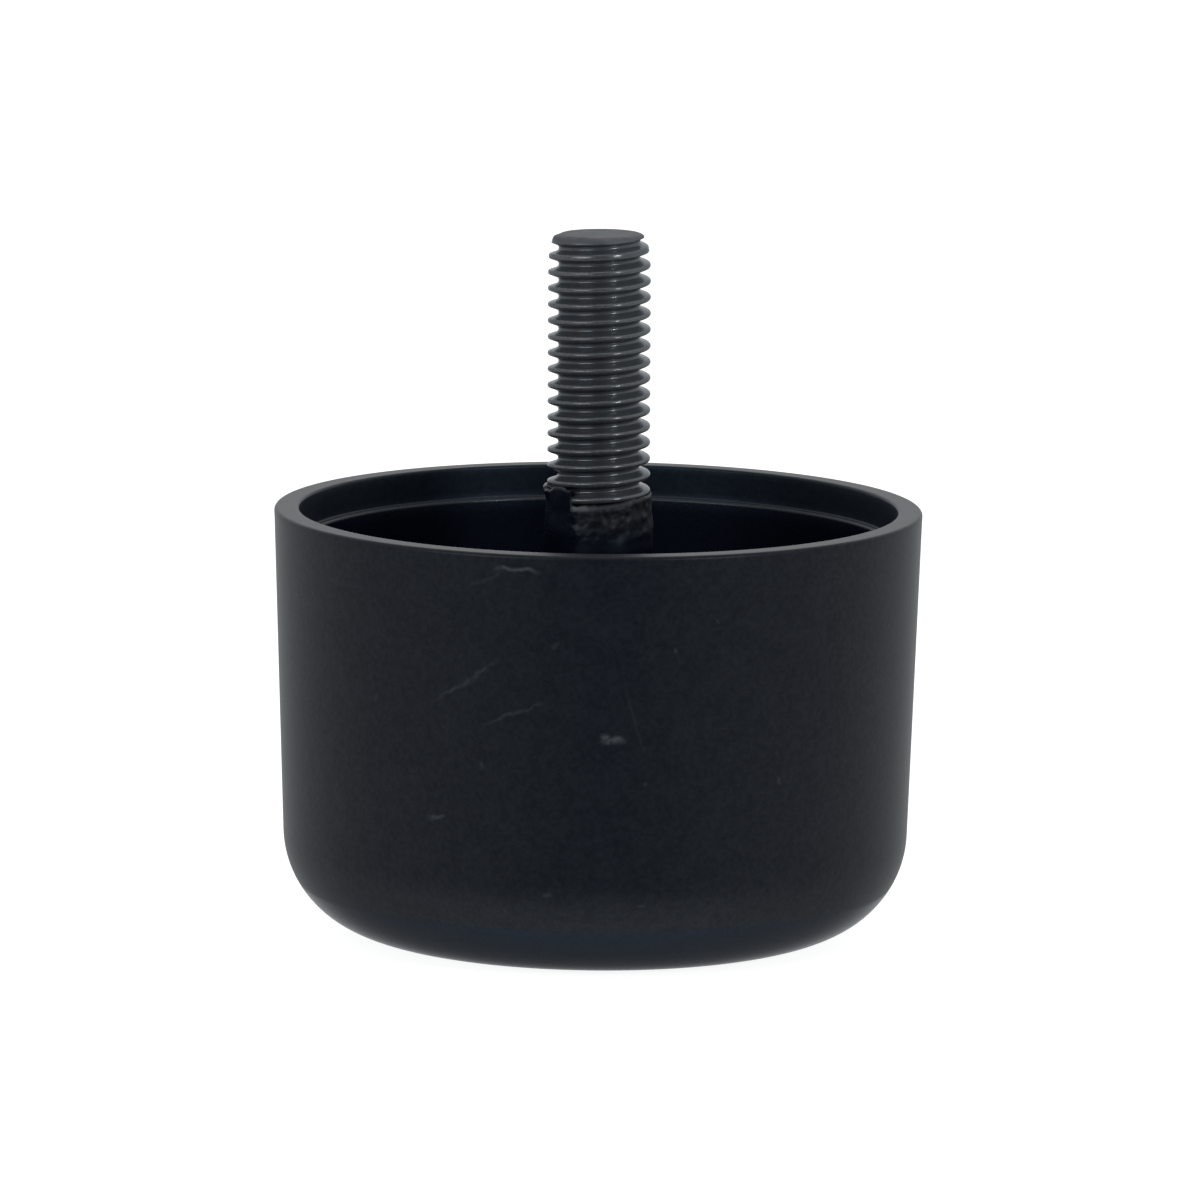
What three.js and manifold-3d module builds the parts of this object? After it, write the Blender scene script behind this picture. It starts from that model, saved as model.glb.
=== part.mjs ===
// Fixed-stud furniture foot: a moulded plastic cup with a steel stud held in its central column.
// Units are millimetres. +Z is up, and the origin is the centre of the base where it meets the floor.
// The foot is screwed into a threaded insert in the furniture and levelled by turning the whole foot.

import * as THREE from 'three';
import { mergeVertices } from 'three/addons/utils/BufferGeometryUtils.js';
import Module from 'manifold-3d';

// ---------- driving dimensions ----------

// cup, outside
const cupHeight = 33.0;
const rimOuterRadius = 25.0;
const wallDraftDegrees = 1.88; // the wall leans out towards the rim
const baseFilletRadius = 8.0;
const gateRecessRadius = 2.5; // the dimple that keeps the moulding gate off the floor
const gateRecessDepth = 0.5;

// cup, inside
const rimInnerRadius = 23.1;
const ledgeDepth = 2.5; // below the rim
const ledgeWidth = 0.5; // the wall is thicker by this much below the ledge
const floorThickness = 3.0;
const innerFilletRadius = 5.0;

// column that holds the stud, and the boss at its foot around the stud's head
const columnTop = 33.4; // a little above the rim
const columnTopRadius = 4.2;
const columnFootRadius = 5.6;
const bossRadius = 9.4;
const bossHeight = 8.0; // above the floor of the cup
const bossChamfer = 1.0;

// ribs that brace the column against the wall
const ribCount = 4;
const ribThickness = 1.8;
const ribTop = 20.0;

// M8 stud with a hexagon head; its plain shank has the pitch diameter, as rolled threads leave it
const studTop = 54.3;
const threadPitch = 1.25;
const crestRadius = 3.93;
const rootRadius = 3.2;
const shankRadius = 3.55;
const tipRadius = 3.43;
const headAcrossFlats = 13.0;
const headHeight = 5.3;
const headSeat = 3.0; // underside of the head above the floor
const crestHeightAtX = 36.95; // height of a thread crest on the +X side, which sets the phase
const threadStart = 33.6; // the thread runs out just above the column
const tipLead = [ // how far the crests are rolled down at each depth below the top
  [4.5, 0],
  [2.7, 0.06],
  [1.1, 0.21],
  [0, crestRadius - tipRadius],
];

// working clearance between the moulded plastic and the stud, all round
const clearance = 0.1;

// facets
const cupSegments = 64;
const studSegments = 32;
const outerFilletSteps = 8;
const innerFilletSteps = 5;

// solids that are joined overlap by this much, and a cut runs this far past the face it opens
const overlap = 1.0;
const weldDistance = 1e-4;

// ---------- solids ----------

const wasm = await Module();
wasm.setup();

// A closed three.js geometry as a solid that can be joined and cut.
function solidOf(geometry) {
  const bare = geometry.index ? geometry.toNonIndexed() : geometry.clone();
  bare.deleteAttribute('normal');
  bare.deleteAttribute('uv');
  const welded = mergeVertices(bare, weldDistance);
  const mesh = new wasm.Mesh({
    numProp: 3,
    vertProperties: new Float32Array(welded.attributes.position.array),
    triVerts: new Uint32Array(welded.index.array),
  });
  return new wasm.Manifold(mesh);
}

function geometryOf(solid) {
  const mesh = solid.getMesh();
  const geometry = new THREE.BufferGeometry();
  geometry.setAttribute('position', new THREE.BufferAttribute(mesh.vertProperties, 3));
  geometry.setIndex(new THREE.BufferAttribute(mesh.triVerts, 1));
  geometry.computeVertexNormals();
  return geometry;
}

// A solid of revolution about Z from [radius, height] points, which run up the outside.
function turned(profile, segments) {
  const points = profile.map(([radius, height]) => new THREE.Vector2(radius, height));
  const geometry = new THREE.LatheGeometry(points, segments);
  geometry.rotateX(Math.PI / 2); // the lathe turns about Y
  return solidOf(geometry);
}

// Points on an arc about (centreRadius, centreHeight), from one angle to another, ends included.
function arc(centreRadius, centreHeight, radius, fromAngle, toAngle, steps) {
  const points = [];
  for (let step = 0; step <= steps; step += 1) {
    const angle = fromAngle + ((toAngle - fromAngle) * step) / steps;
    points.push([centreRadius + radius * Math.cos(angle), centreHeight + radius * Math.sin(angle)]);
  }
  return points;
}

function hexagonalPrism(acrossFlats, bottom, top) {
  const cornerRadius = acrossFlats / Math.sqrt(3);
  const geometry = new THREE.CylinderGeometry(cornerRadius, cornerRadius, top - bottom, 6);
  geometry.rotateX(Math.PI / 2);
  geometry.translate(0, 0, (bottom + top) / 2);
  return solidOf(geometry);
}

// ---------- cup ----------

const wallDraft = THREE.MathUtils.degToRad(wallDraftDegrees);
const rimThickness = rimOuterRadius - rimInnerRadius;
const wallThickness = rimThickness + ledgeWidth; // below the ledge, along the radius
const outerRadiusAt = (height) => rimOuterRadius - (cupHeight - height) * Math.tan(wallDraft);
const innerRadiusAt = (height) => outerRadiusAt(height) - wallThickness;

// Centre of a fillet between a horizontal floor and the leaning wall, measured from the axis.
const filletCentre = (wallRadius, filletRadius) => wallRadius - filletRadius / Math.cos(wallDraft);

function cupShell() {
  const ledgeHeight = cupHeight - ledgeDepth;
  const outerCentre = filletCentre(outerRadiusAt(baseFilletRadius), baseFilletRadius);
  const innerCentreHeight = floorThickness + innerFilletRadius;
  const innerCentre = filletCentre(innerRadiusAt(innerCentreHeight), innerFilletRadius);
  const down = -Math.PI / 2;
  return turned(
    [
      [0, gateRecessDepth],
      [gateRecessRadius, gateRecessDepth],
      [gateRecessRadius, 0],
      ...arc(outerCentre, baseFilletRadius, baseFilletRadius, down, -wallDraft, outerFilletSteps),
      [rimOuterRadius, cupHeight],
      [rimInnerRadius, cupHeight],
      [outerRadiusAt(ledgeHeight) - rimThickness, ledgeHeight],
      [innerRadiusAt(ledgeHeight), ledgeHeight],
      ...arc(innerCentre, innerCentreHeight, innerFilletRadius, -wallDraft, down, innerFilletSteps),
      [0, floorThickness],
    ],
    cupSegments,
  );
}

function column() {
  const root = floorThickness / 2; // sunk into the floor
  const bossTop = floorThickness + bossHeight;
  return turned(
    [
      [0, root],
      [bossRadius, root],
      [bossRadius, bossTop - bossChamfer],
      [bossRadius - bossChamfer, bossTop],
      [columnFootRadius, bossTop],
      [columnTopRadius, columnTop],
      [0, columnTop],
    ],
    cupSegments,
  );
}

// One rib from the axis out past the wall, standing on the floor.
function rib(index) {
  const bottom = floorThickness / 2; // sunk into the floor
  const length = rimOuterRadius;
  const geometry = new THREE.BoxGeometry(length, ribThickness, ribTop - bottom);
  geometry.translate(length / 2, 0, (ribTop + bottom) / 2);
  geometry.rotateZ((index * 2 * Math.PI) / ribCount);
  return solidOf(geometry);
}

// A plain body as far out as the middle of the wall, which the ribs are trimmed to.
function ribEnvelope() {
  const outerCentre = filletCentre(outerRadiusAt(baseFilletRadius), baseFilletRadius);
  const inset = wallThickness / 2;
  const filletRadius = baseFilletRadius - inset;
  return turned(
    [
      [0, inset],
      ...arc(outerCentre, baseFilletRadius, filletRadius, -Math.PI / 2, -wallDraft, outerFilletSteps),
      [outerRadiusAt(cupHeight) - inset, cupHeight],
      [0, cupHeight],
    ],
    cupSegments,
  );
}

// The bore for the shank, open at the top of the column, and the pocket for the head below it.
function studCavity() {
  const bore = turned(
    [
      [0, headSeat],
      [shankRadius + clearance, headSeat],
      [shankRadius + clearance, columnTop + overlap],
      [0, columnTop + overlap],
    ],
    cupSegments,
  );
  const pocketTop = headSeat + headHeight + clearance;
  return bore.add(hexagonalPrism(headAcrossFlats + 2 * clearance, headSeat - clearance, pocketTop));
}

function footCup() {
  let ribs = rib(0);
  for (let index = 1; index < ribCount; index += 1) {
    ribs = ribs.add(rib(index));
  }
  return cupShell().add(column()).add(ribs.intersect(ribEnvelope())).subtract(studCavity());
}

// ---------- stud ----------

// One pitch of the thread as [height, radius] points from a root, up over the crest.
const rootFlat = threadPitch / 4;
const crestFlat = threadPitch / 8;
const threadProfile = [
  [rootFlat / 2, rootRadius],
  [threadPitch / 2 - crestFlat / 2, crestRadius],
  [threadPitch / 2 + crestFlat / 2, crestRadius],
  [threadPitch - rootFlat / 2, rootRadius],
];

// A right-hand threaded bar. Its rows follow the helix, so one turn up is one profile further on.
function threadedBar(bottom, top) {
  const rowsPerPitch = threadProfile.length;
  const phase = (crestHeightAtX - threadPitch / 2 - bottom) % threadPitch;
  const firstRoot = bottom - 2 * threadPitch + phase;
  const turns = Math.ceil((top - firstRoot) / threadPitch) + 1;
  const rows = turns * rowsPerPitch;
  const positions = [];
  for (let row = 0; row < rows; row += 1) {
    const [offset, radius] = threadProfile[row % rowsPerPitch];
    const pitches = Math.floor(row / rowsPerPitch);
    for (let side = 0; side < studSegments; side += 1) {
      const turn = side / studSegments;
      const angle = turn * 2 * Math.PI;
      const height = firstRoot + (pitches + turn) * threadPitch + offset;
      positions.push(radius * Math.cos(angle), radius * Math.sin(angle), height);
    }
  }
  const vertex = (row, side) =>
    side < studSegments ? row * studSegments + side : (row + rowsPerPitch) * studSegments;
  const triangles = [];
  for (let row = 0; row < rows - rowsPerPitch - 1; row += 1) {
    for (let side = 0; side < studSegments; side += 1) {
      const a = vertex(row, side);
      const b = vertex(row, side + 1);
      const c = vertex(row + 1, side + 1);
      const d = vertex(row + 1, side);
      triangles.push(a, b, c, a, c, d);
    }
  }
  closeEnd(positions, triangles, vertex, 0, rowsPerPitch, false);
  closeEnd(positions, triangles, vertex, rows - rowsPerPitch - 1, rowsPerPitch, true);
  const geometry = new THREE.BufferGeometry();
  geometry.setAttribute('position', new THREE.Float32BufferAttribute(positions, 3));
  geometry.setIndex(triangles);
  return solidOf(geometry);
}

// Closes one end of the bar with a fan to the axis. The rim is one helical row and the step
// of one pitch that joins its two ends.
function closeEnd(positions, triangles, vertex, row, rowsPerPitch, isTop) {
  const rim = [];
  for (let side = 0; side < studSegments; side += 1) {
    rim.push(vertex(row, side));
  }
  for (let step = rowsPerPitch; step > 0; step -= 1) {
    rim.push(vertex(row + step, 0));
  }
  const centre = positions.length / 3;
  positions.push(0, 0, positions[rim[0] * 3 + 2] + threadPitch / 2);
  rim.forEach((corner, index) => {
    const next = rim[(index + 1) % rim.length];
    if (isTop) {
      triangles.push(centre, corner, next);
    } else {
      triangles.push(centre, next, corner);
    }
  });
}

// What the thread is cut down to: a run-out above the column, and a long rolled lead at the tip.
function threadEnvelope() {
  return turned(
    [
      [0, threadStart - threadPitch],
      [shankRadius - clearance, threadStart - threadPitch],
      [shankRadius - clearance, threadStart],
      [crestRadius, threadStart + crestRadius - shankRadius],
      ...tipLead.map(([depth, reduction]) => [crestRadius - reduction, studTop - depth]),
      [0, studTop],
    ],
    studSegments,
  );
}

function threadedStud() {
  const headTop = headSeat + headHeight;
  const shank = turned(
    [
      [0, headTop - overlap],
      [shankRadius, headTop - overlap],
      [shankRadius, threadStart],
      [0, threadStart],
    ],
    studSegments,
  );
  const thread = threadedBar(threadStart - threadPitch, studTop).intersect(threadEnvelope());
  const head = hexagonalPrism(headAcrossFlats, headSeat, headTop);
  return head.add(shank).add(thread);
}

// ---------- scene graph ----------

function node(name, solid, material) {
  const mesh = new THREE.Mesh(geometryOf(solid), material);
  mesh.name = name;
  return mesh;
}

const cupPlastic = new THREE.MeshStandardMaterial({ color: 0x24272c, roughness: 0.55, metalness: 0 });
const studSteel = new THREE.MeshStandardMaterial({ color: 0x3a3d40, roughness: 0.35, metalness: 0.8 });

const foot = new THREE.Group();
foot.add(node('foot_cup', footCup(), cupPlastic));
foot.add(node('threaded_stud', threadedStud(), studSteel));

export default foot;
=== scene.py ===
"""The looks of a fixed-stud furniture foot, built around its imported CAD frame.

Everything is in metres, +Z up, with the origin at the centre of the base. The camera looks along +Y.
Angles round the axis are in degrees from +X, counter-clockwise seen from above, so the front is at -90.
"""

import math

import bmesh
import bpy
import numpy as np
from mathutils import Matrix, Vector, noise


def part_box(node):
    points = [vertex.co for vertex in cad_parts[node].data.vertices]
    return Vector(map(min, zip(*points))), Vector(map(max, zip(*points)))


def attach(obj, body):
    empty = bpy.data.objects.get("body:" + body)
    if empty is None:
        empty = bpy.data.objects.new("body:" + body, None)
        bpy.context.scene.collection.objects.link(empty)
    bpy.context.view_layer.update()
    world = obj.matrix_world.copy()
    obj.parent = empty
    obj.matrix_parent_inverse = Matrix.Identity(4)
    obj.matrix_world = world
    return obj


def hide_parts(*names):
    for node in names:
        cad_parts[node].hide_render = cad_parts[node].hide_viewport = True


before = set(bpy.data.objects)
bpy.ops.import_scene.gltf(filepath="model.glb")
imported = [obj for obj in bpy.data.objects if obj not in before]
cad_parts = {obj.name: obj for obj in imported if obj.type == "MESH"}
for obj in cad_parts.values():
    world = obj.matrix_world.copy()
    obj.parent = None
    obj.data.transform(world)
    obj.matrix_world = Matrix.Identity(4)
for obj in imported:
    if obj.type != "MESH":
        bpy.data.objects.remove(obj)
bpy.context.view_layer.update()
_, cup_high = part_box("foot_cup")
stud_low, stud_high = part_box("threaded_stud")

MM = 0.001

# ---------- sizes ----------

RIM_RADIUS = cup_high.x
CUP_HEIGHT = 33.0 * MM
WALL_DRAFT = math.radians(1.88)
BASE_FILLET = 8.0 * MM
GATE_RADIUS = 2.5 * MM  # the dimple that the moulding gate left under the base
GATE_DEPTH = 0.5 * MM
RIM_THICKNESS = 1.9 * MM
LEDGE_DEPTH = 2.5 * MM
LEDGE_WIDTH = 0.5 * MM
FLOOR = 3.0 * MM
INNER_FILLET = 5.0 * MM

BOSS_RADIUS = 9.4 * MM
BOSS_TOP = 11.0 * MM
SHOULDER = 1.0 * MM  # rounding of the boss's top edge and of the column's foot
COLUMN_FOOT_RADIUS = 5.6 * MM
COLUMN_RADIUS = 4.2 * MM
COLUMN_TOP = cup_high.z
SKIN_FOOT = 31.0 * MM  # above this the column is a rough skin of flash round the thread
SKIN_START = 33.56 * MM  # lowest point of the skin's top edge
TEAR = -122.0  # the angle where the skin was torn off
TEAR_FROM_FRONT = TEAR + 90  # the same in degrees to the right of the front, as the materials count

RIB_COUNT = 4
RIB_HALF_THICKNESS = 0.9 * MM
RIB_TOP = 20.0 * MM
RIB_OUTLINE = [  # radius and height in mm of one rib's corners
    (4.4, 9.6), (8.5, 9.6), (8.5, 1.5), (19.0, 1.5), (22.0, 5.0), (22.9, 12.0), (23.3, 20.0), (4.4, 20.0),
]

STUD_TOP = stud_high.z
PITCH = 1.25 * MM
CREST_RADIUS = 3.98 * MM
ROOT_RADIUS = 3.14 * MM
CREST_ROUNDING = 0.22 * MM
ROOT_ROUNDING = 0.24 * MM
FLANK_ANGLE = math.radians(20)  # between a flank and a plane across the stud
SHANK_RADIUS = 3.55 * MM
TIP_RADIUS = 3.41 * MM
TIP_EDGE = 0.34 * MM  # rounding of the tip's edge
STUD_LEAN = 0.006  # the bare stud leans this much to the left, as seen from the front
HEAD_BOTTOM = stud_low.z
HEAD_TOP = HEAD_BOTTOM + 5.3 * MM
HEAD_ACROSS_FLATS = 13.0 * MM
HEAD_CHAMFER = 0.9 * MM
HEAD_EDGE = 0.1 * MM
HEAD_NECK = 0.2 * MM  # fillet from the head to the shank
LEAD_LENGTH = 1.2 * MM  # how fast the lead narrows towards the tip
LEAD_ROUNDING = 0.05 * MM
CREST_AT_X = 36.91 * MM  # height of one crest on the +X side
THREAD_END = 30.2 * MM  # the thread has run out here, inside the column
CLEARANCE = 0.1 * MM
SKIN_GAP = 0.05 * MM  # between the moulded skin and the thread that it flowed round

CUP_SEGMENTS = 288
STUD_SEGMENTS = 144
ROWS_PER_PITCH = 26
OUTER_STEPS = 40  # rows up the outside of the skin
BORE_STEPS = 80  # rows down the threaded bore inside it


# ---------- mesh helpers ----------


def angles(segments):
    return np.arange(segments) * 2 * math.pi / segments


def arc(radius_at, height_at, radius, start, end, steps):
    """Profile points on an arc round (radius_at, height_at), from one angle in degrees to another."""
    turns = [math.radians(start + (end - start) * step / steps) for step in range(steps + 1)]
    return [(radius_at + radius * math.cos(t), height_at + radius * math.sin(t)) for t in turns]


def straight(start, end, steps):
    """Profile points between two points, without the ends."""
    shares = [step / steps for step in range(1, steps)]
    return [tuple(a + (b - a) * share for a, b in zip(start, end)) for share in shares]


def turned(name, rows, segments):
    """A closed mesh whose rows run up the outside. A row is (radius, height), each one number or one
    number per segment, and the first and last rows are points on the axis."""
    around = angles(segments)
    rings = []
    for radius, height in rows[1:-1]:
        ring = np.empty((segments, 3))
        ring[:, 0] = radius * np.cos(around)
        ring[:, 1] = radius * np.sin(around)
        ring[:, 2] = height
        rings.append(ring)
    low_pole = np.array([[0.0, 0.0, rows[0][1]]])
    high_pole = np.array([[0.0, 0.0, rows[-1][1]]])
    points = np.concatenate([low_pole, *rings, high_pole])
    here = np.arange(segments)
    after = (here + 1) % segments
    faces = []
    for row in range(len(rings) - 1):
        low = 1 + row * segments
        high = low + segments
        faces.extend(np.stack([low + here, low + after, high + after, high + here], 1).tolist())
    last = 1 + (len(rings) - 1) * segments
    top = len(points) - 1
    faces.extend(np.stack([np.zeros_like(here), 1 + after, 1 + here], 1).tolist())
    faces.extend(np.stack([last + here, last + after, np.full_like(here, top)], 1).tolist())
    return mesh_object(name, points, faces)


def mesh_object(name, points, faces):
    mesh = bpy.data.meshes.new(name)
    mesh.from_pydata([tuple(point) for point in points], [], faces)
    mesh.validate()
    piece = bpy.data.objects.new(name, mesh)
    bpy.context.scene.collection.objects.link(piece)
    return piece


def smooth(piece, sharp_above):
    """Smooth shading that breaks at edges sharper than this many degrees."""
    piece.data.shade_smooth()
    piece.data.set_sharp_from_angle(angle=math.radians(sharp_above))


def ripple(around, seed, waves):
    """Smooth seeded noise round the axis, about -1 to 1."""
    points = [(math.cos(t) * waves, math.sin(t) * waves, seed) for t in around]
    return np.array([2 * noise.noise(Vector(point)) for point in points])


def angle_from(around, degrees):
    """Signed distance in degrees from this angle, -180 to 180."""
    return (np.degrees(around) - degrees + 180) % 360 - 180


def ease(value, low, high):
    share = np.clip((value - low) / (high - low), 0, 1)
    return share * share * (3 - 2 * share)


# ---------- thread ----------


def thread_profile(from_crest):
    """Radius of a rolled thread by the distance along the axis from the nearest crest: a round crest, a
    straight flank and a round root."""
    from_root = PITCH / 2 - from_crest
    crest_end = CREST_ROUNDING * math.cos(FLANK_ANGLE)
    root_end = ROOT_ROUNDING * math.cos(FLANK_ANGLE)
    high = CREST_RADIUS - CREST_ROUNDING * (1 - math.sin(FLANK_ANGLE))
    low = ROOT_RADIUS + ROOT_ROUNDING * (1 - math.sin(FLANK_ANGLE))
    flank = np.interp(from_crest, (crest_end, PITCH / 2 - root_end), (high, low))
    on_crest = np.minimum(from_crest, crest_end)
    on_root = np.minimum(from_root, root_end)
    crest = CREST_RADIUS - CREST_ROUNDING + np.sqrt(CREST_ROUNDING ** 2 - on_crest ** 2)
    root = ROOT_RADIUS + ROOT_ROUNDING - np.sqrt(ROOT_ROUNDING ** 2 - on_root ** 2)
    return np.where(from_crest < crest_end, crest, np.where(from_root < root_end, root, flank))


def thread_radius(around, height):
    """Radius of the stud's thread at each angle and height, from its run-out to its rolled lead."""
    pitches = (height - CREST_AT_X) / PITCH - around / (2 * math.pi)
    full = thread_profile(np.abs((pitches + 0.5) % 1 - 0.5) * PITCH)
    widest = CREST_RADIUS + 2 * LEAD_ROUNDING
    lead = widest - (widest - TIP_RADIUS) * np.exp((height - STUD_TOP) / LEAD_LENGTH)
    cut = -LEAD_ROUNDING * np.logaddexp(-full / LEAD_ROUNDING, -lead / LEAD_ROUNDING)
    run_out = ease(height, THREAD_END, THREAD_END + PITCH)
    return SHANK_RADIUS + (cut - SHANK_RADIUS) * run_out


def hex_radius(around, across_flats):
    sector = (around + math.pi / 6) % (math.pi / 3) - math.pi / 6
    return across_flats / 2 / np.cos(sector)


def make_stud():
    around = angles(STUD_SEGMENTS)
    corners = hex_radius(around, HEAD_ACROSS_FLATS)
    face = HEAD_ACROSS_FLATS / 2 * 0.96  # radius of the flat disc under the head
    rows = [(0, HEAD_BOTTOM)]
    for share in (0, 0.25, 0.5, 0.75, 1):
        cone = face + share * HEAD_CHAMFER * 2
        rows.append((np.minimum(corners, cone), HEAD_BOTTOM + share * HEAD_CHAMFER))
    rows.append((corners, HEAD_TOP - HEAD_EDGE))
    rows.append((corners - HEAD_EDGE, HEAD_TOP))
    rows += arc(SHANK_RADIUS + HEAD_NECK, HEAD_TOP + HEAD_NECK, HEAD_NECK, -90, -180, 5)
    height = THREAD_END
    while height < STUD_TOP - TIP_EDGE:
        rows.append((thread_radius(around, height), height))
        height += PITCH / ROWS_PER_PITCH
    for turn in (0, 15, 30, 45, 60, 75, 90):
        drop = TIP_EDGE * (1 - math.sin(math.radians(turn)))
        inset = TIP_EDGE * (1 - math.cos(math.radians(turn)))
        rows.append((thread_radius(around, STUD_TOP - drop) - inset, STUD_TOP - drop))
    for share in (0.8, 0.55, 0.3):
        rows.append((TIP_RADIUS * share, STUD_TOP))
    rows.append((0, STUD_TOP))
    stud = turned("steel_stud", rows, STUD_SEGMENTS)
    for vertex in stud.data.vertices:
        vertex.co.x -= STUD_LEAN * max(0, vertex.co.z - COLUMN_TOP)
    smooth(stud, 50)
    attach(stud, "root")
    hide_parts("threaded_stud")
    return stud


# ---------- cup ----------


def outer_radius(height):
    return RIM_RADIUS - (CUP_HEIGHT - height) * math.tan(WALL_DRAFT)


def inner_radius(height):
    return outer_radius(height) - RIM_THICKNESS - LEDGE_WIDTH


def outside_rows():
    """From the gate recess under the base, up the wall and over the rim to the ledge."""
    draft = math.degrees(WALL_DRAFT)
    recess_edge = 0.2 * MM
    rim_edge = 0.28 * MM
    rim_inner_edge = 0.22 * MM
    rim_inner = RIM_RADIUS - RIM_THICKNESS
    base_centre = outer_radius(BASE_FILLET) - BASE_FILLET / math.cos(WALL_DRAFT)
    ledge = CUP_HEIGHT - LEDGE_DEPTH
    band_foot = outer_radius(ledge) - RIM_THICKNESS
    corner = 0.12 * MM
    ledge_edge = 0.22 * MM
    rows = [(0, GATE_DEPTH)]
    rows += arc(GATE_RADIUS - recess_edge, GATE_DEPTH - recess_edge, recess_edge, 90, 0, 3)
    rows += arc(GATE_RADIUS + recess_edge, recess_edge, recess_edge, 180, 270, 3)
    rows += straight((GATE_RADIUS + recess_edge, 0), (base_centre, 0), 12)
    rows += arc(base_centre, BASE_FILLET, BASE_FILLET, -90, -draft, 28)
    rim_corner = (RIM_RADIUS - rim_edge, CUP_HEIGHT - rim_edge)
    rows += straight(rows[-1], (outer_radius(rim_corner[1]), rim_corner[1]), 40)
    rows += arc(*rim_corner, rim_edge, -draft, 90, 6)
    rows += straight(rows[-1], (rim_inner + rim_inner_edge, CUP_HEIGHT), 6)
    rows += arc(rim_inner + rim_inner_edge, CUP_HEIGHT - rim_inner_edge, rim_inner_edge, 90, 180, 5)
    rows += straight(rows[-1], (band_foot, ledge + corner), 5)
    rows += arc(band_foot - corner, ledge + corner, corner, 0, -90, 4)
    rows += arc(inner_radius(ledge) + ledge_edge, ledge - ledge_edge, ledge_edge, 90, 180, 5)
    return rows


def inside_rows():
    """From the ledge down the inner wall, across the floor and up the boss to the column."""
    draft = math.degrees(WALL_DRAFT)
    centre_height = FLOOR + INNER_FILLET
    centre = inner_radius(centre_height) - INNER_FILLET / math.cos(WALL_DRAFT)
    under_ledge = CUP_HEIGHT - LEDGE_DEPTH - 0.2 * MM
    foot = 0.8 * MM
    start = (inner_radius(under_ledge), under_ledge)
    rows = straight(start, (inner_radius(centre_height), centre_height), 24)
    rows += arc(centre, centre_height, INNER_FILLET, -draft, -90, 14)
    rows += straight(rows[-1], (BOSS_RADIUS + foot, FLOOR), 6)
    rows += arc(BOSS_RADIUS + foot, FLOOR + foot, foot, -90, -180, 5)
    rows += arc(BOSS_RADIUS - SHOULDER, BOSS_TOP - SHOULDER, SHOULDER, 0, 90, 6)
    rows += arc(COLUMN_FOOT_RADIUS + SHOULDER, BOSS_TOP + SHOULDER, SHOULDER, -90, -180, 6)
    return rows


def between(around, start, end, soft):
    """1 from the start angle on to the end angle, counter-clockwise, with soft ends, and 0 elsewhere."""
    past_start = angle_from(around, start) % 360
    length = (end - start) % 360
    rising = ease(past_start, 0, soft)
    return rising * (1 - ease(past_start, length - soft, length))


def dent(around, height, degrees, level, size):
    """How much of a round dent at this angle and level is felt at each point."""
    across = np.radians(angle_from(around, degrees)) * COLUMN_RADIUS
    far = (across ** 2 + (height - level) ** 2) / size ** 2
    return np.exp(-far)


def skin_top(around):
    """Height of the column's top edge. The plastic followed the last thread groove round the stud, so it
    climbs one pitch in a turn. It covers the whole groove on the right, stands highest on the left, and is
    torn off at the front left."""
    climbed = (angle_from(around, TEAR) % 360) / 360
    ragged = 0.06 * ripple(around, 3.1, 5) + 0.03 * ripple(around, 8.4, 15)
    right_side = 0.3 * between(around, -90, 60, 55)
    flap = 0.2 * between(around, 140, TEAR + 6, 18) - 0.28 * between(around, 178, -144, 14)
    torn_away = 0.5 * between(around, TEAR - 14, TEAR, 12)
    return SKIN_START + climbed * PITCH + (ragged + right_side + flap - torn_away) * MM


def skin_radius(around, height):
    """Outside of the column where it is a rough skin of flash round the thread."""
    rough = np.array([
        noise.fractal(Vector((4.2 * math.cos(t), 4.2 * math.sin(t), h / MM)) * 1.1, 1.0, 2.0, 4)
        for t, h in zip(around, height)
    ])
    level = ease(height, SKIN_FOOT - 0.5 * MM, SKIN_FOOT + 0.4 * MM)
    smooth_side = between(around, 150, TEAR + 8, 14)
    radius = COLUMN_RADIUS - 0.13 * MM * ease(height, SKIN_FOOT, COLUMN_TOP)
    radius = radius + 0.04 * MM * level * (1 - smooth_side)
    radius = radius + rough * (0.09 - 0.08 * smooth_side) * MM * level
    radius = radius - 0.18 * MM * dent(around, height, -65, 31.5 * MM, 0.5 * MM)
    radius = radius - 0.16 * MM * dent(around, height, -57, 32.8 * MM, 0.25 * MM)
    radius = radius + 0.12 * MM * dent(around, height, -36, 32.7 * MM, 0.3 * MM)
    flare = between(around, 150, -150, 22) * ease(height, 33.6 * MM, 34.7 * MM)
    return radius + 0.2 * MM * flare


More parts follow.
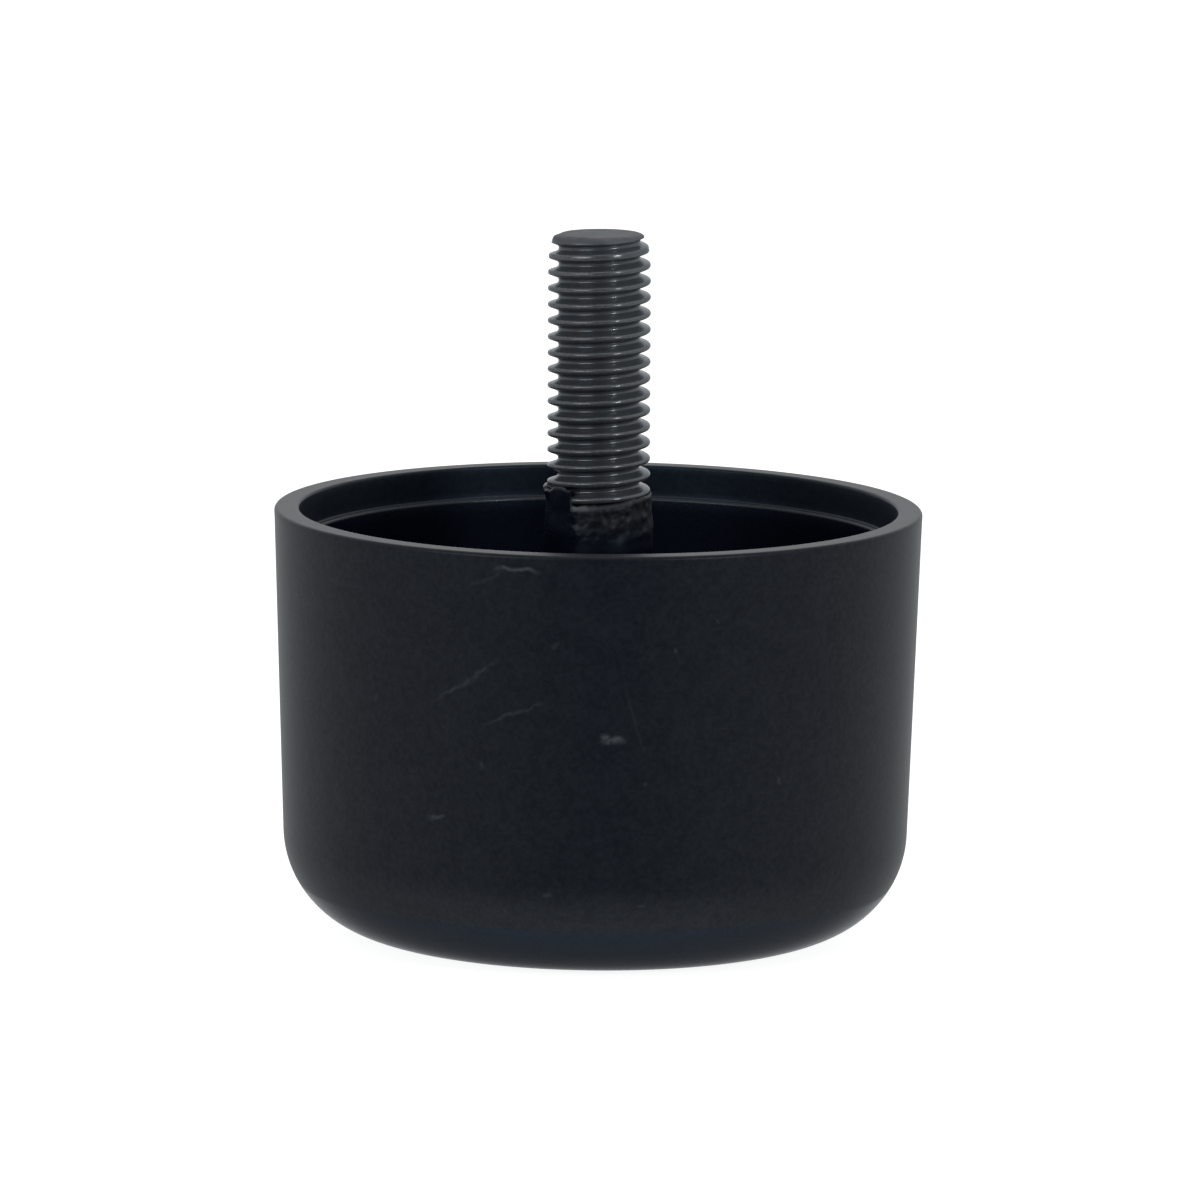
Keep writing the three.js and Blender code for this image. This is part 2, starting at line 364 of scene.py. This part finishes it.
def column_rows(segments):
    """The column: a cone that ends in a thin rough skin round the stud, then the bore inside it."""
    around = angles(segments)
    top = skin_top(around)
    lip = between(around, TEAR + 4, -30, 25)  # the skin is thicker just right of the tear
    edge = (0.16 + 0.3 * lip) * MM
    bevel = 0.06 * MM  # height of the skin's inner edge
    cone_top = SKIN_START - 4.5 * MM
    rows = straight((COLUMN_FOOT_RADIUS, BOSS_TOP + SHOULDER), (COLUMN_RADIUS, cone_top), 14)
    for step in range(OUTER_STEPS):
        height = cone_top + (top - edge - cone_top) * step / OUTER_STEPS
        rows.append((skin_radius(around, height), height))
    outer = skin_radius(around, top - edge)
    crest = np.maximum(thread_radius(around, top), thread_radius(around, top - bevel))
    inner = np.maximum(crest + SKIN_GAP, outer - edge - (0.12 + 0.5 * lip) * MM)
    for turn in (0, 20, 40, 60, 80):
        rise = edge * math.sin(math.radians(turn))
        inset = edge * (1 - math.cos(math.radians(turn)))
        thinnest = (0.08 - 0.0005 * turn) * MM
        rows.append((np.maximum(outer - inset, inner + thinnest), top - edge + rise))
    rows.append((inner + bevel / 2, top))
    rows.append((inner, top - bevel))
    for step in range(1, BORE_STEPS + 1):
        height = top - bevel + (THREAD_END - top) * step / BORE_STEPS
        bore = thread_radius(around, height) + SKIN_GAP
        wider = np.maximum(inner - bore, 0) * (1 - ease(top - height, 0, 0.6 * MM))
        rows.append((bore + wider, height))
    bore = SHANK_RADIUS + CLEARANCE
    rows += straight((bore, THREAD_END - 0.5 * MM), (bore, HEAD_TOP + 0.5 * MM), 8)
    rows.append((bore, HEAD_TOP + CLEARANCE))
    pocket = hex_radius(around, HEAD_ACROSS_FLATS + 2 * CLEARANCE)
    rows.append((pocket, HEAD_TOP + CLEARANCE))
    rows.append((pocket, HEAD_BOTTOM - CLEARANCE))
    rows.append((0, HEAD_BOTTOM - CLEARANCE))
    return rows


def make_rib(index):
    """One rib as a slab with rounded top edges. It starts inside the column and ends inside the wall."""
    slab = bmesh.new()
    side = [slab.verts.new((x * MM, -RIB_HALF_THICKNESS, z * MM)) for x, z in RIB_OUTLINE]
    face = slab.faces.new(side)
    moved = bmesh.ops.extrude_face_region(slab, geom=[face])
    for vertex in (part for part in moved["geom"] if isinstance(part, bmesh.types.BMVert)):
        vertex.co.y = RIB_HALF_THICKNESS
    bmesh.ops.recalc_face_normals(slab, faces=slab.faces)
    top_edges = [
        edge for edge in slab.edges
        if all(abs(vertex.co.z - RIB_TOP) < 1e-6 for vertex in edge.verts)
    ]
    long_top = [edge for edge in top_edges if edge.calc_length() > 10 * MM]
    bmesh.ops.bevel(slab, geom=long_top, offset=0.3 * MM, segments=3, affect="EDGES", profile=0.5)
    turn = Matrix.Rotation(index * 2 * math.pi / RIB_COUNT, 3, "Z")
    bmesh.ops.rotate(slab, verts=slab.verts, matrix=turn)
    mesh = bpy.data.meshes.new(f"rib_{index}")
    slab.to_mesh(mesh)
    slab.free()
    rib = bpy.data.objects.new(mesh.name, mesh)
    bpy.context.scene.collection.objects.link(rib)
    return rib


def join_into(piece, others):
    """Joins other closed meshes into the piece and removes them."""
    for other in others:
        union = piece.modifiers.new("join", "BOOLEAN")
        union.operation = "UNION"
        union.solver = "EXACT"
        union.object = other
    graph = bpy.context.evaluated_depsgraph_get()
    made = bpy.data.meshes.new_from_object(piece.evaluated_get(graph))
    piece.modifiers.clear()
    piece.data = made
    for other in others:
        bpy.data.objects.remove(other)


def make_cup():
    rows = outside_rows() + inside_rows() + column_rows(CUP_SEGMENTS)
    cup = turned("moulded_cup", rows, CUP_SEGMENTS)
    join_into(cup, [make_rib(index) for index in range(RIB_COUNT)])
    smooth(cup, 40)
    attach(cup, "root")
    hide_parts("foot_cup")
    return cup


# ---------- materials ----------

PLASTIC_DARK = (0.0004, 0.0035, 0.0115, 1)
PLASTIC_LIGHT = (0.0084, 0.0127, 0.0235, 1)
# painted shade: the darker colour of the deep hollow and of the column
SHADED_CORE = (0.0012, 0.0034, 0.0115, 1)
TORN_AND_LIT = (0.007, 0.0105, 0.019, 1)
LIP_HIGHLIGHT = (0.07, 0.076, 0.086, 1)
LIP_SHADE_LEFT = (0.02, 0.023, 0.03, 1)
LIP_HIGHLIGHT_AT_TEAR = (0.16, 0.17, 0.18, 1)
LEDGE_HIGHLIGHT = (0.055, 0.059, 0.066, 1)
MARK = (0.137, 0.153, 0.17, 1)
GLOSS_OUTSIDE = (0.94, 0.985, 1, 1)
GLOSS_INSIDE = (0.6, 0.8, 1, 1)

COATING_BLUE = (0.172, 0.201, 0.226, 1)
COATING_BROWN = (0.196, 0.196, 0.213, 1)
COATING_LIT_RIGHT = (0.25, 0.274, 0.295, 1)
COATING_GLOSS = (0.5, 0.52, 0.55, 1)
WORN_CREST = (0.28, 0.29, 0.3, 1)
TIP_DARK = (0.18, 0.182, 0.19, 1)
TIP_LIGHT = (0.27, 0.27, 0.28, 1)


class Nodes:
    """Short names for the shader nodes that these materials and the world are made of."""

    def __init__(self, tree):
        self.tree = tree

    def put(self, kind, inputs, **settings):
        """A node with its settings, and its inputs by name or number, each a value or another socket."""
        node = self.tree.nodes.new("ShaderNode" + kind)
        for setting, value in settings.items():
            setattr(node, setting, value)
        for key, value in inputs.items():
            if isinstance(value, bpy.types.NodeSocket):
                self.tree.links.new(value, node.inputs[key])
            else:
                node.inputs[key].default_value = value
        return node

    def math(self, operation, *values):
        return self.put("Math", dict(enumerate(values)), operation=operation).outputs[0]

    def product(self, first, *others):
        for other in others:
            first = self.math("MULTIPLY", first, other)
        return first

    def ramp(self, position, stops):
        """A value that follows (position, value) stops."""
        node = self.put("ValToRGB", {"Fac": position})
        elements = node.color_ramp.elements
        elements.remove(elements[0])
        elements[0].position, value = stops[-1]
        elements[0].color = (value, value, value, 1)
        for at, value in stops[:-1]:
            elements.new(at).color = (value, value, value, 1)
        return node.outputs["Color"]

    def step(self, value, low, high):
        """Eases from 0 to 1 as the value goes from low to high."""
        inputs = {"Value": value, "From Min": low, "From Max": high}
        return self.put("MapRange", inputs, interpolation_type="SMOOTHSTEP").outputs["Result"]

    def noise(self, position, scale, detail, roughness=0.55):
        inputs = {"Vector": position, "Scale": scale, "Detail": detail, "Roughness": roughness}
        return self.put("TexNoise", inputs).outputs[0]

    def stretched(self, position, turn, stretch):
        """The position turned about X, Y and Z, then stretched, for noise that runs along a direction."""
        inputs = {"Vector": position, "Rotation": turn, "Scale": stretch}
        return self.put("Mapping", inputs).outputs["Vector"]

    def blend(self, share, low, high):
        inputs = {"Factor": share, "A": low, "B": high}
        node = self.put("Mix", {}, data_type="RGBA")
        for socket in node.inputs:
            if socket.type == "RGBA" or socket.identifier == "Factor_Float":
                value = inputs[socket.name]
                if isinstance(value, bpy.types.NodeSocket):
                    self.tree.links.new(value, socket)
                else:
                    socket.default_value = value
        return next(socket for socket in node.outputs if socket.type == "RGBA")

    def cylinder(self):
        """The object position, the distance round the wall from the front, the height and the radius, all
        in mm, and the angle to the right of the front in degrees."""
        place = self.put("TexCoord", {}).outputs["Object"]
        place = self.put("VectorMath", {0: place, "Scale": 1 / MM}, operation="SCALE").outputs[0]
        parts = self.put("SeparateXYZ", {0: place}).outputs
        turn = self.math("ARCTAN2", parts["X"], self.product(parts["Y"], -1))
        across = self.product(turn, RIM_RADIUS / MM)
        squares = [self.product(parts[axis], parts[axis]) for axis in ("X", "Y")]
        radius = self.math("SQRT", self.math("ADD", *squares))
        return place, across, parts["Z"], radius, self.math("DEGREES", turn)


def new_material(name):
    material = bpy.data.materials.new(name)
    material.use_nodes = True
    return Nodes(material.node_tree), material, material.node_tree.nodes["Principled BSDF"]


def mark_group():
    """A group that gives the strength of one worn mark on the wall: a short stroke with soft edges."""
    tree = bpy.data.node_groups.new("mark", "ShaderNodeTree")
    for name in ("Across", "Up", "At", "Level", "Turn", "Half Length", "Half Width", "Bend"):
        tree.interface.new_socket(name, in_out="INPUT", socket_type="NodeSocketFloat")
    tree.interface.new_socket("Strength", in_out="OUTPUT", socket_type="NodeSocketFloat")
    nodes = Nodes(tree)
    given = tree.nodes.new("NodeGroupInput").outputs
    out = tree.nodes.new("NodeGroupOutput")
    right = nodes.math("SUBTRACT", given["Across"], given["At"])
    up = nodes.math("SUBTRACT", given["Up"], given["Level"])
    cosine = nodes.math("COSINE", given["Turn"])
    sine = nodes.math("SINE", given["Turn"])
    along = nodes.math("ADD", nodes.product(right, cosine), nodes.product(up, sine))
    aside = nodes.math("SUBTRACT", nodes.product(up, cosine), nodes.product(right, sine))
    bow = nodes.product(given["Bend"], along, along)
    aside = nodes.math("ABSOLUTE", nodes.math("SUBTRACT", aside, bow))
    along = nodes.math("ABSOLUTE", along)
    thin = nodes.math("SUBTRACT", 1, nodes.math("DIVIDE", aside, given["Half Width"]))
    short = nodes.math("SUBTRACT", 1, nodes.math("DIVIDE", along, given["Half Length"]))
    edges = nodes.step(thin, 0, 1)
    ends = nodes.step(short, 0, 0.7)
    tree.links.new(nodes.product(edges, ends), out.inputs["Strength"])
    return tree


# The wall's worn marks: from one end to the other as (degrees right of the front, height in mm), the half
# width in mm, the strength, and how much the stroke bends upwards towards its ends.
MARKS = [
    ((0.6, 19.0), (5.4, 18.9), 0.28, 0.72, 0.0),
    ((0.6, 19.35), (2.6, 19.3), 0.22, 0.6, 0.0),
    ((-18.3, 32.0), (-9.8, 31.7), 0.16, 0.58, 0.0),
    ((-24.0, 30.2), (-16.0, 31.9), 0.12, 0.14, -0.02),
    ((-30.0, 21.6), (-16.5, 25.1), 0.13, 0.24, 0.01),
    ((-20.6, 19.8), (-8.4, 22.0), 0.13, 0.21, -0.01),
    ((4.5, 23.7), (9.0, 17.2), 0.12, 0.1, 0.01),
    ((-31.2, 12.3), (-27.5, 12.8), 0.16, 0.45, 0.0),
    ((-7.8, 25.7), (-6.6, 26.4), 0.22, 0.15, 0.0),
    ((20.9, 28.2), (21.7, 28.3), 0.22, 0.35, 0.0),
    ((13.4, 26.0), (14.2, 26.1), 0.20, 0.30, 0.0),
    ((34.1, 15.3), (34.9, 15.4), 0.22, 0.32, 0.0),
    ((8.4, 15.9), (9.2, 15.9), 0.20, 0.22, 0.0),
    ((-20.8, 16.8), (-20.0, 16.9), 0.22, 0.26, 0.0),
    ((-9.5, 7.2), (-7.6, 7.6), 0.25, 0.22, 0.0),
    ((7.6, 6.5), (9.4, 6.5), 0.18, 0.24, 0.0),
    ((-17.5, 5.6), (-15.8, 5.9), 0.24, 0.22, 0.0),
    ((-43.0, 20.4), (-41.8, 21.2), 0.20, 0.22, 0.0),
]


def add_marks(nodes, across, height, broken):
    """The strongest of the marks at each place, broken up by the noise."""
    group = mark_group()
    total = 0.0
    longer = 1.15  # for the soft ends
    wider = 1.6  # for the soft edges
    for start, end, half_width, strength, bend in MARKS:
        first, last = [math.radians(degrees) * RIM_RADIUS / MM for degrees, _ in (start, end)]
        run, rise = last - first, end[1] - start[1]
        mark = nodes.put("Group", {}, node_tree=group)
        values = {
            "At": (first + last) / 2,
            "Level": (start[1] + end[1]) / 2,
            "Turn": math.atan2(rise, run),
            "Half Length": math.hypot(run, rise) / 2 * longer,
            "Half Width": half_width * wider,
            "Bend": bend,
        }
        for name, value in values.items():
            mark.inputs[name].default_value = value
        nodes.tree.links.new(across, mark.inputs["Across"])
        nodes.tree.links.new(height, mark.inputs["Up"])
        total = nodes.math("MAXIMUM", total, nodes.product(mark.outputs["Strength"], strength))
    return nodes.product(total, broken)


def faint_scratches(nodes, place, turn, seed):
    """Hairline scratches all over, in one direction, where a larger noise lets them show."""
    shift = (seed, 2 * seed, 3 * seed)
    offset = nodes.put("VectorMath", {0: place, 1: shift}, operation="ADD").outputs[0]
    lines = nodes.noise(nodes.stretched(offset, turn, (0.12, 2.2, 2.2)), 1.6, 2.0)
    patches = nodes.noise(offset, 0.16, 2.0)
    return nodes.product(nodes.step(lines, 0.68, 0.8), nodes.step(patches, 0.5, 0.66))


def lit_skin_edge(nodes, height, degrees):
    """Where the torn top edge of the skin is painted pale: partly stretched flash, partly a painted highlight
    where its rounded edge catches the light. It follows the thread like skin_top.
    """
    from_tear = nodes.math("SUBTRACT", degrees, TEAR_FROM_FRONT)
    climbed = nodes.math("FRACT", nodes.math("DIVIDE", from_tear, 360))
    uneven = nodes.ramp(climbed, [
        (0.05, 0.0), (0.09, 0.12), (0.165, 0.27), (0.24, 0.42),
        (0.36, 0.42), (0.5, 0.12), (0.73, 0.12), (0.78, 0.32),
    ])
    top = nodes.math("MULTIPLY_ADD", climbed, PITCH / MM, SKIN_START / MM)
    above = nodes.math("SUBTRACT", height, nodes.math("ADD", top, uneven))
    return nodes.step(above, -0.47, -0.22)


def cup_material():
    """Black moulded plastic: bluish, finely grained and a little worn outside, glossier inside, with pale
    torn flash where it was moulded round the stud. Painted shade darkens the deep hollow and the column,
    painted light makes the column's right side paler, and painted highlights line the skin's top edge and the
    ledge."""
    nodes, material, shader = new_material("black_plastic")
    place, across, height, radius, degrees = nodes.cylinder()
    mottle = nodes.noise(place, 0.5, 5.0, 0.8)
    speckle = nodes.step(nodes.noise(place, 2.2, 3.0, 0.7), 0.3, 0.7)
    speckle = nodes.math("ADD", nodes.product(speckle, 0.6), nodes.product(nodes.step(mottle, 0.3, 0.7), 0.4))

    patchy = nodes.step(nodes.noise(place, 2.6, 3.0, 0.7), 0.32, 0.62)
    broken = nodes.math("MULTIPLY_ADD", patchy, 0.6, 0.4)
    outside = nodes.step(radius, 23.6, 23.9)
    wobble = nodes.math("MULTIPLY_ADD", nodes.noise(place, 0.3, 2.0), 2.4, -1.2)
    wavering = nodes.math("ADD", height, wobble)
    marks = nodes.product(add_marks(nodes, across, wavering, broken), outside)
    hairlines = nodes.math("ADD",
                           faint_scratches(nodes, place, (0.5, 0.9, 0.3), 3.0),
                           faint_scratches(nodes, place, (1.9, 0.2, 1.2), 11.0))
    worn = nodes.math("ADD", marks, nodes.product(hairlines, 0.1))

    hollow = nodes.step(radius, 23.3, 23.15)
    below_ledge = nodes.product(nodes.step(radius, 23.2, 22.9), nodes.step(height, 30.7, 30.5))
    near_stud = nodes.step(radius, 5.2, 4.8)
    # Painted shade: below the ledge and round the column the plastic is painted darker. There it also has the
    # glossier finish of the mould's core.
    glossy_core_and_shade = nodes.math("MAXIMUM", below_ledge, near_stud)
    on_skin = nodes.step(height, 30.9, 32.2)
    right_of_tear = nodes.step(degrees, TEAR_FROM_FRONT + 3, TEAR_FROM_FRONT + 16)
    not_behind = nodes.step(degrees, 110, 95)
    ragged = nodes.step(nodes.noise(place, 1.6, 3.0), 0.2, 0.55)
    # Painted light: right of the tear the column's skin is painted paler, partly as pale torn flash and
    # partly as light falling on that side, while its left side stays dark.
    torn = nodes.product(near_stud, on_skin, right_of_tear, not_behind, ragged)

    plastic = nodes.blend(speckle, PLASTIC_DARK, PLASTIC_LIGHT)
    plastic = nodes.blend(glossy_core_and_shade, plastic, SHADED_CORE)
    plastic = nodes.blend(torn, plastic, TORN_AND_LIT)
    # Painted highlight on the skin's top edge, brightest just right of the tear where the crescent catches
    # the light, with painted shade further to the left.
    at_tear = nodes.product(
        nodes.step(degrees, TEAR_FROM_FRONT, TEAR_FROM_FRONT + 4), nodes.step(degrees, -8, -16))
    lip_highlight_colour = nodes.blend(nodes.step(degrees, -40, -50), LIP_HIGHLIGHT, LIP_SHADE_LEFT)
    lip_highlight_colour = nodes.blend(at_tear, lip_highlight_colour, LIP_HIGHLIGHT_AT_TEAR)
    lip = nodes.product(near_stud, lit_skin_edge(nodes, height, degrees))
    plastic = nodes.blend(lip, plastic, lip_highlight_colour)
    # Painted highlight: a thin pale line on the ledge's rounded edge, where it catches the light.
    ledge = nodes.product(
        nodes.step(radius, 22.3, 22.4), nodes.step(radius, 23.3, 23.2),
        nodes.step(height, 30.2, 30.35), nodes.step(height, 30.6, 30.52))
    plastic = nodes.blend(ledge, plastic, LEDGE_HIGHLIGHT)
    colour = nodes.blend(worn, plastic, MARK)
    nodes.tree.links.new(colour, shader.inputs["Base Color"])

    roughness = nodes.math("MULTIPLY_ADD", mottle, 0.05, 0.38)
    roughness = nodes.math("SUBTRACT", roughness, nodes.product(glossy_core_and_shade, 0.13))
    roughness = nodes.math("ADD", roughness, nodes.product(worn, 0.15))
    rough_skin = nodes.product(near_stud, nodes.step(height, 29.6, 30.6), right_of_tear)
    roughness = nodes.math("ADD", roughness, nodes.product(rough_skin, 0.22))
    nodes.tree.links.new(roughness, shader.inputs["Roughness"])

    tint = nodes.blend(nodes.math("SUBTRACT", hollow, torn), GLOSS_OUTSIDE, GLOSS_INSIDE)
    nodes.tree.links.new(tint, shader.inputs["Specular Tint"])
    gloss = nodes.math("ADD", nodes.math("MULTIPLY_ADD", hollow, 0.1, 0.43), nodes.product(speckle, 0.14))
    nodes.tree.links.new(gloss, shader.inputs["Specular IOR Level"])
    shader.inputs["IOR"].default_value = 1.48

    grain = nodes.noise(place, 9.0, 2.0)
    texture = nodes.math("ADD", nodes.product(grain, 0.5), nodes.noise(place, 3.2, 2.0))
    relief = nodes.math("SUBTRACT", texture, worn)
    bump = nodes.put("Bump", {"Height": relief, "Strength": 0.35, "Distance": 0.02 * MM})
    nodes.tree.links.new(bump.outputs["Normal"], shader.inputs["Normal"])
    return material


def stud_material():
    """Steel with a dark coating, worn on the crests and bare on the sheared tip, with painted light on its
    right side.
    """
    nodes, material, shader = new_material("coated_steel")
    place, _, height, radius, degrees = nodes.cylinder()
    top = STUD_TOP / MM
    patches = nodes.noise(place, 0.55, 3.0)
    grain = nodes.noise(place, 5.0, 3.0, 0.6)
    coating = nodes.blend(nodes.step(patches, 0.35, 0.65), COATING_BLUE, COATING_BROWN)
    # Painted light: the stud's right side is painted lighter, where the light falls on it.
    right_side = nodes.product(nodes.step(degrees, 0, 14), nodes.step(degrees, 120, 100))
    coating = nodes.blend(nodes.product(right_side, 0.6), coating, COATING_LIT_RIGHT)
    crest = nodes.step(radius, 3.72, 3.93)
    wear = nodes.product(crest, nodes.step(grain, 0.35, 0.7))
    coating = nodes.blend(wear, coating, WORN_CREST)
    sheared = nodes.noise(nodes.stretched(place, (0, 0, 0.5), (0.5, 1.6, 1)), 1.4, 4.0)
    sheared = nodes.blend(nodes.step(sheared, 0.3, 0.7), TIP_DARK, TIP_LIGHT)
    tip = nodes.step(height, top - 0.25, top - 0.05)
    colour = nodes.blend(tip, coating, sheared)
    nodes.tree.links.new(colour, shader.inputs["Base Color"])
    shader.inputs["Metallic"].default_value = 0.55
    shader.inputs["Specular Tint"].default_value = COATING_GLOSS
    dull = nodes.step(height, top - 0.6, top - 0.35)
    roughness = nodes.math("MULTIPLY_ADD", grain, 0.06, 0.2)
    roughness = nodes.math("ADD", roughness, nodes.product(dull, 0.3))
    nodes.tree.links.new(roughness, shader.inputs["Roughness"])
    bump = nodes.put("Bump", {"Height": grain, "Strength": 0.04, "Distance": 0.01 * MM})
    nodes.tree.links.new(bump.outputs["Normal"], shader.inputs["Normal"])
    return material


# ---------- camera, light and floor ----------


def make_camera():
    """A long lens, a little above the rim and turned slightly on its own axis."""
    elevation = math.radians(9.104)
    roll = math.radians(0.593)
    distance = 726.7 * MM
    moved_right = 0.195 * MM
    moved_up = 0.77 * MM
    aim = Vector((0, 0, 25 * MM))
    along = Vector((0, math.cos(elevation), -math.sin(elevation)))
    right = Vector((1, 0, 0))
    up = right.cross(along)
    data = bpy.data.cameras.new("camera")
    data.sensor_width = 36
    data.lens = 282.1
    camera = bpy.data.objects.new("camera", data)
    bpy.context.scene.collection.objects.link(camera)
    turn = Matrix((right, up, -along)).transposed().to_4x4()
    place = aim - along * distance + right * moved_right + up * moved_up
    camera.matrix_world = Matrix.Translation(place) @ turn @ Matrix.Rotation(roll, 4, "Z")
    data.clip_start = 0.01
    data.clip_end = 50
    bpy.context.scene.camera = camera


def make_world():
    """A white room for the camera, and a dimmer light tent for everything else. The tent is dark in front
    and light behind, with some light from the table in front and from above."""
    world = bpy.data.worlds.new("studio")
    bpy.context.scene.world = world
    world.use_nodes = True
    world.node_tree.nodes.clear()
    nodes = Nodes(world.node_tree)
    towards = nodes.put("TexCoord", {}).outputs["Generated"]
    direction = nodes.put("SeparateXYZ", {0: towards}).outputs
    back = nodes.math("MULTIPLY_ADD", direction["Y"], 0.5, 0.5)
    up = nodes.math("MULTIPLY_ADD", direction["Z"], 0.5, 0.5)
    walls = nodes.product(
        nodes.ramp(back, [(0, 0.04), (0.07, 0.1), (0.25, 0.2), (0.47, 0.29),
                          (0.65, 0.36), (0.85, 0.43), (0.93, 0.55), (1, 1.0)]),
        nodes.ramp(up, [(0, 0.1), (0.2, 0.35), (0.3, 0.8), (0.38, 1.0)]))
    table = nodes.product(
        nodes.ramp(up, [(0, 0.5), (0.1, 0.52), (0.22, 0.43), (0.29, 0.25), (0.39, 0.02), (0.45, 0.0)]),
        nodes.ramp(back, [(0.35, 1.0), (0.55, 0.6), (0.8, 0.2)]))
    above = nodes.ramp(up, [(0.6, 0.0), (0.8, 0.05), (1, 0.1)])
    total = nodes.math("ADD", walls, nodes.math("ADD", table, above))
    tent = nodes.put("Background", {"Color": (0.965, 0.985, 1, 1), "Strength": total})
    seen = nodes.put("Background", {"Color": (1, 1, 1, 1)})
    for_camera = nodes.put("LightPath", {}).outputs["Is Camera Ray"]
    mix = nodes.put("MixShader", {0: for_camera, 1: tent.outputs[0], 2: seen.outputs[0]})
    nodes.put("OutputWorld", {"Surface": mix.outputs[0]})


def studio_light(name, right_of_camera, elevation, size, strength):
    """A softbox in a direction in degrees as seen from the part. The strength is its radiance times the
    solid angle that it fills."""
    distance = 0.9
    turn = math.radians(right_of_camera)
    rise = math.radians(elevation)
    towards = Vector((math.sin(turn) * math.cos(rise), -math.cos(turn) * math.cos(rise), math.sin(rise)))
    data = bpy.data.lights.new(name, "AREA")
    data.shape = "RECTANGLE"
    data.size, data.size_y = size
    data.energy = strength * distance ** 2 * math.pi
    lamp = bpy.data.objects.new(name, data)
    bpy.context.scene.collection.objects.link(lamp)
    lamp.location = towards * distance + Vector((0, 0, 35 * MM))
    lamp.rotation_euler = towards.to_track_quat("Z", "Y").to_euler()


def make_floor():
    size = 6.0
    level = -0.02 * MM  # just under the base, so that the two faces don't fight
    points = [(-size, -size, level), (size, -size, level), (size, size, level), (-size, size, level)]
    floor = mesh_object("floor", points, [(0, 1, 2, 3)])
    _, material, shader = new_material("white_floor")
    shader.inputs["Base Color"].default_value = (0.8, 0.8, 0.8, 1)
    shader.inputs["Roughness"].default_value = 0.9
    shader.inputs["Emission Color"].default_value = (1, 1, 1, 1)
    shader.inputs["Emission Strength"].default_value = 0.9
    floor.data.materials.append(material)
    floor.visible_glossy = False
    floor.visible_diffuse = False
    floor.visible_shadow = False


# ---------- scene ----------

bpy.context.scene.view_settings.view_transform = "Standard"
make_camera()
make_world()
make_floor()
studio_light("overhead", right_of_camera=0, elevation=80, size=(0.25, 0.2), strength=0.04)
studio_light("front_right", right_of_camera=42, elevation=20, size=(0.14, 0.1), strength=0.32)
studio_light("front_left", right_of_camera=-41, elevation=19, size=(0.6, 0.2), strength=0.37)

cup = make_cup()
cup.data.materials.append(cup_material())
stud = make_stud()
stud.data.materials.append(stud_material())
